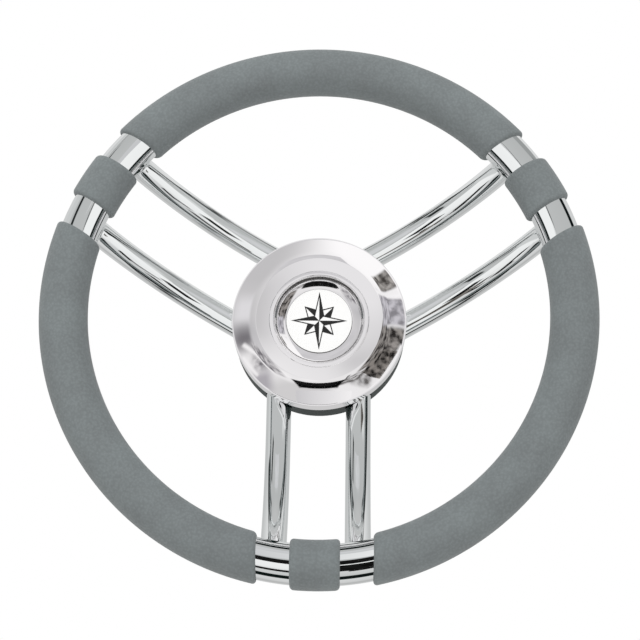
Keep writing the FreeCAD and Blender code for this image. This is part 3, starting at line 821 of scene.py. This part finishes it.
# %% The wall behind the wheel
backward = add(tree, "Math", {0: place_in.outputs["Y"], 1: away.outputs["Value"]}, operation="DIVIDE")
to_the_back = backward.outputs[0]
back_wall = ramp_up(((-75, "#E0E0E0"), (-60, "#D8D8D8"), (-46, "#BCBCBC"), (-20, "#D4D4D4"),
                     (14, "#C8C9C9"), (50, "#EAEAEA")))
WALL_FROM, WALL_FULLY = 93, 96
behind = add(tree, "MapRange", {"Value": to_the_back, "From Min": -cos(radians(WALL_FROM)),
                                "From Max": -cos(radians(WALL_FULLY))})
paint = add(tree, "Mix", {"Factor": behind.outputs[0], 6: paint, 7: back_wall},
            data_type="RGBA").outputs[2]
print("the wall starts", WALL_FROM, "degrees from straight ahead")


# %% The black flags round the wheel's plane
def off_the_shaft(low, high, soft=0.02, within=1.0):
    """A mask between two angles measured from straight ahead."""
    return between(to_the_back, -cos(radians(low)), -cos(radians(high)), soft, within)


round_shaft = add(tree, "Math", {0: place_in.outputs["Z"], 1: place_in.outputs["X"]}, operation="ARCTAN2")
three_periods = add(tree, "Math", {0: round_shaft.outputs[0], 1: -3.0}, operation="MULTIPLY")
wave = add(tree, "Math", {0: three_periods.outputs[0]}, operation="SINE").outputs[0]
slant = add(tree, "MapRange", {"Value": to_the_back, "From Min": 0.07, "From Max": 0.36,
                               "To Min": -0.6, "To Max": 0.35})
off_slant = add(tree, "Math", {0: wave, 1: slant.outputs[0]}, operation="SUBTRACT").outputs[0]
flags = between(wave, -1.3, 0.0, 0.1, within=off_the_shaft(75.5, 94))
for more in (between(wave, 0.0, 1.3, 0.1, within=off_the_shaft(95.5, 107, 0.01)),
             between(off_slant, -0.1, 0.1, 0.04, within=off_the_shaft(94, 113, 0.01)),
             off_the_shaft(75, 95, within=from_rim)):
    flags = add(tree, "Math", {0: flags, 1: more}, operation="MAXIMUM").outputs[0]
paint = add(tree, "Mix", {"Factor": flags, 6: paint, 7: colour("#101817")}, data_type="RGBA").outputs[2]
print("black flags painted")

# %% Pale cloths over the flags, each for one part of the wheel
paint = patch(paint, colour("#D6D7D7"), (-88, -5), (36, 56), soft=2, seen_by=not_from_rim)
paint = patch(paint, colour("#A2A4A4"), (86, 53), (50, 14), soft=2, seen_by=from_right)
paint = patch(paint, colour("#D4D5D5"), (-88, 38), (36, 36), soft=2, seen_by=from_left)
close_material(tree, add(tree, "Emission", {"Color": paint, "Strength": 1.0}))
print("tent painted with", len(tree.nodes), "nodes")

# %% [markdown]
# The tent is a sphere round a point in front of the boss. Boards and cloths hang much nearer to the wheel,
# so the hub, the spokes and the rim each see them in another place, which paint on the far tent can't give.
# Each is a single face that shines by itself. None of them is seen by the camera, casts a shadow or lights a
# matt surface.


# %% Things that only reflections see
def only_reflected(bm, name, material, location=(0, 0, 0)):
    """A part of the studio that the camera doesn't see and that casts no light on matt surfaces."""
    mesh = bpy.data.meshes.new(name)
    bm.to_mesh(mesh)
    bm.free()
    mesh.materials.append(material)
    panel = bpy.data.objects.new(name, mesh)
    panel.location = location
    bpy.context.scene.collection.objects.link(panel)
    panel.visible_camera = False
    panel.visible_shadow = False
    panel.visible_diffuse = False
    material.cycles.emission_sampling = "NONE"


TENT_RADIUS, TENT_FORWARD = 2.0, 50
bm = bmesh.new()
bmesh.ops.create_uvsphere(bm, u_segments=96, v_segments=48, radius=TENT_RADIUS)
only_reflected(bm, "tent", tent_paint, place(0, 0, TENT_FORWARD))
print("tent of", TENT_RADIUS, "m placed")


# %% Boards and their corners
def board(name, first, second, grain):
    """A lit surface that wanders between two colours, with spots about as wide as the grain in metres."""
    material, tree, where = new_material(name)
    spots = add(tree, "TexNoise", {"Vector": where, "Scale": 1 / grain, "Detail": 4.0})
    tones = add(tree, "ValToRGB", {"Fac": spots.outputs[0]})
    tones.color_ramp.elements[0].position, tones.color_ramp.elements[1].position = 0.4, 0.6
    tones.color_ramp.elements[0].color = colour(first)
    tones.color_ramp.elements[1].color = colour(second)
    close_material(tree, add(tree, "Emission", {"Color": tones.outputs[0], "Strength": 1.0}))
    return material


def hung(across, heights, y):
    """The corners of an upright oblong, in metres."""
    return [(across[i], y, heights[j]) for i, j in ((0, 0), (1, 0), (1, 1), (0, 1))]


def laid(across, depths, z):
    """The corners of a level oblong, in metres."""
    return [(across[i], depths[j], z) for i, j in ((0, 0), (1, 0), (1, 1), (0, 1))]


def card(name, material, corners):
    """A flat card through its corners, which are in metres."""
    bm = bmesh.new()
    bmesh.ops.contextual_create(bm, geom=[bm.verts.new(corner) for corner in corners])
    only_reflected(bm, name, material)


print("an upright card has", len(hung((0, 1), (0, 1), 0)), "corners")

# %% Cloths, a dark room and two boards near the wheel
FLOOR = -0.62
black_cloth = board("black_cloth", "#0D0D0D", "#202020", 0.017)
card("black_camera", black_cloth, hung((-0.126, 0.084), (-0.220, -0.069), -0.514))
card("black_stand", black_cloth, hung((-0.020, 0.070), (-0.300, -0.190), -0.234))
card("cloth_in_front", black_cloth, laid((-0.60, -0.05), (-0.58, -0.42), FLOOR + 0.005))
card("cloth_at_stand", black_cloth, laid((0.085, 0.17), (-0.98, -0.48), FLOOR + 0.005))
card("dark_room", board("dark_room", "#1D1B1A", "#8F8A85", 0.0133),
     [(0.066, -0.150, -0.060), (0.088, -0.150, -0.074), (0.112, -0.150, -0.078), (0.150, -0.150, -0.024),
      (0.080, -0.150, -0.024)])
card("white_board_low", board("white_board", "#F4F4F4", "#FDFDFD", 0.05),
     hung((-0.062, 0.045), (-0.074, -0.044), -0.200))
card("grey_board_high", board("grey_board", "#D1D1D3", "#DBDBDD", 0.05),
     hung((-0.12, 0.058), (0.10, 0.29), -0.300))
print("boards hung")

# %% [markdown]
# Two things serve the cap alone. A card hangs close below it and is shaded from grey on the left to white
# on the right. A narrow collar of white paper stands round the cap's side, so that the side stays pale.

# %% A shaded card below the cap
CARD_LEFT, CARD_RIGHT = -0.040, 0.056
shaded, tree, where = new_material("shaded_card")
card_x = add(tree, "SeparateXYZ", {0: where}).outputs["X"]
share = add(tree, "MapRange", {"Value": card_x, "From Min": CARD_LEFT, "From Max": CARD_RIGHT})
shade = add(tree, "Mix", {"Factor": share.outputs[0], 6: colour("#D4D4D6"), 7: colour("#FFFFFF")},
            data_type="RGBA")
close_material(tree, add(tree, "Emission", {"Color": shade.outputs[2], "Strength": 1.0}))
card("shaded_card", shaded, hung((CARD_LEFT, CARD_RIGHT), (-0.141, -0.097), -0.145))
print(shaded.name, "placed")

# %% A paper collar round the cap
COLLAR_RADIUS, COLLAR_WIDTH, COLLAR_FORWARD = 59.0, 4.5, 53.8
round_cap = Matrix.Translation(place(0, 0, COLLAR_FORWARD)) @ Matrix.Rotation(pi / 2, 4, "X")
bm = bmesh.new()
bmesh.ops.create_cone(bm, segments=96, radius1=COLLAR_RADIUS * 0.001, radius2=COLLAR_RADIUS * 0.001,
                      depth=COLLAR_WIDTH * 0.001, matrix=round_cap)
only_reflected(bm, "paper_collar", board("collar_paper", "#ECECED", "#F2F2F3", 0.05))
print("collar", round(COLLAR_RADIUS - CAP_RADIUS, 1), "mm off the cap's side")

# %% [markdown]
# The floor is a plain pale sheet well below the wheel. It keeps the wheel's soft shadow and gives the
# undersides their light, and the tent stands in for it in reflections. One large soft lamp above and in
# front models the grips. A sharp lamp would draw hard shadows of the spokes on them.

# %% Floor
bm = bmesh.new()
bmesh.ops.create_grid(bm, x_segments=1, y_segments=1, size=1.6)
bmesh.ops.translate(bm, verts=bm.verts, vec=(0, 0, FLOOR))
floor_mesh = bpy.data.meshes.new("floor")
bm.to_mesh(floor_mesh)
bm.free()
floor = bpy.data.objects.new("floor", floor_mesh)
bpy.context.scene.collection.objects.link(floor)
paper, tree, where = new_material("pale_paper_floor")
fibre = add(tree, "TexNoise", {"Vector": where, "Scale": 40.0, "Detail": 4.0})
tone = add(tree, "ValToRGB", {"Fac": fibre.outputs[0]})
tone.color_ramp.elements[0].color = colour("#EDEBEA")
tone.color_ramp.elements[1].color = colour("#F4F3F2")
sheet = add(tree, "BsdfPrincipled", {"Base Color": tone.outputs[0], "Roughness": 0.9})
close_material(tree, sheet)
floor_mesh.materials.append(paper)
floor.visible_glossy = False
print("floor", FLOOR, "m from the shaft")

# %% Lamp
LAMP_AT, LAMP_AIM = Vector((-0.25, -1.2, 1.2)), Vector((0, -0.06, 0))
soft_lamp = bpy.data.lights.new("lamp_above", "AREA")
soft_lamp.shape, soft_lamp.size, soft_lamp.energy = "DISK", 1.2, 10
lamp = bpy.data.objects.new("lamp_above", soft_lamp)
lamp.location = LAMP_AT
lamp.rotation_euler = (LAMP_AIM - LAMP_AT).to_track_quat("-Z", "Y").to_euler()
lamp.visible_glossy = False
bpy.context.scene.collection.objects.link(lamp)
print("lamp of", soft_lamp.size, "m and", soft_lamp.energy, "W")

# %% [markdown]
# The picture uses the Standard view, so that colours come out as they were written.

# %% Finish
bpy.context.scene.view_settings.view_transform = "Standard"
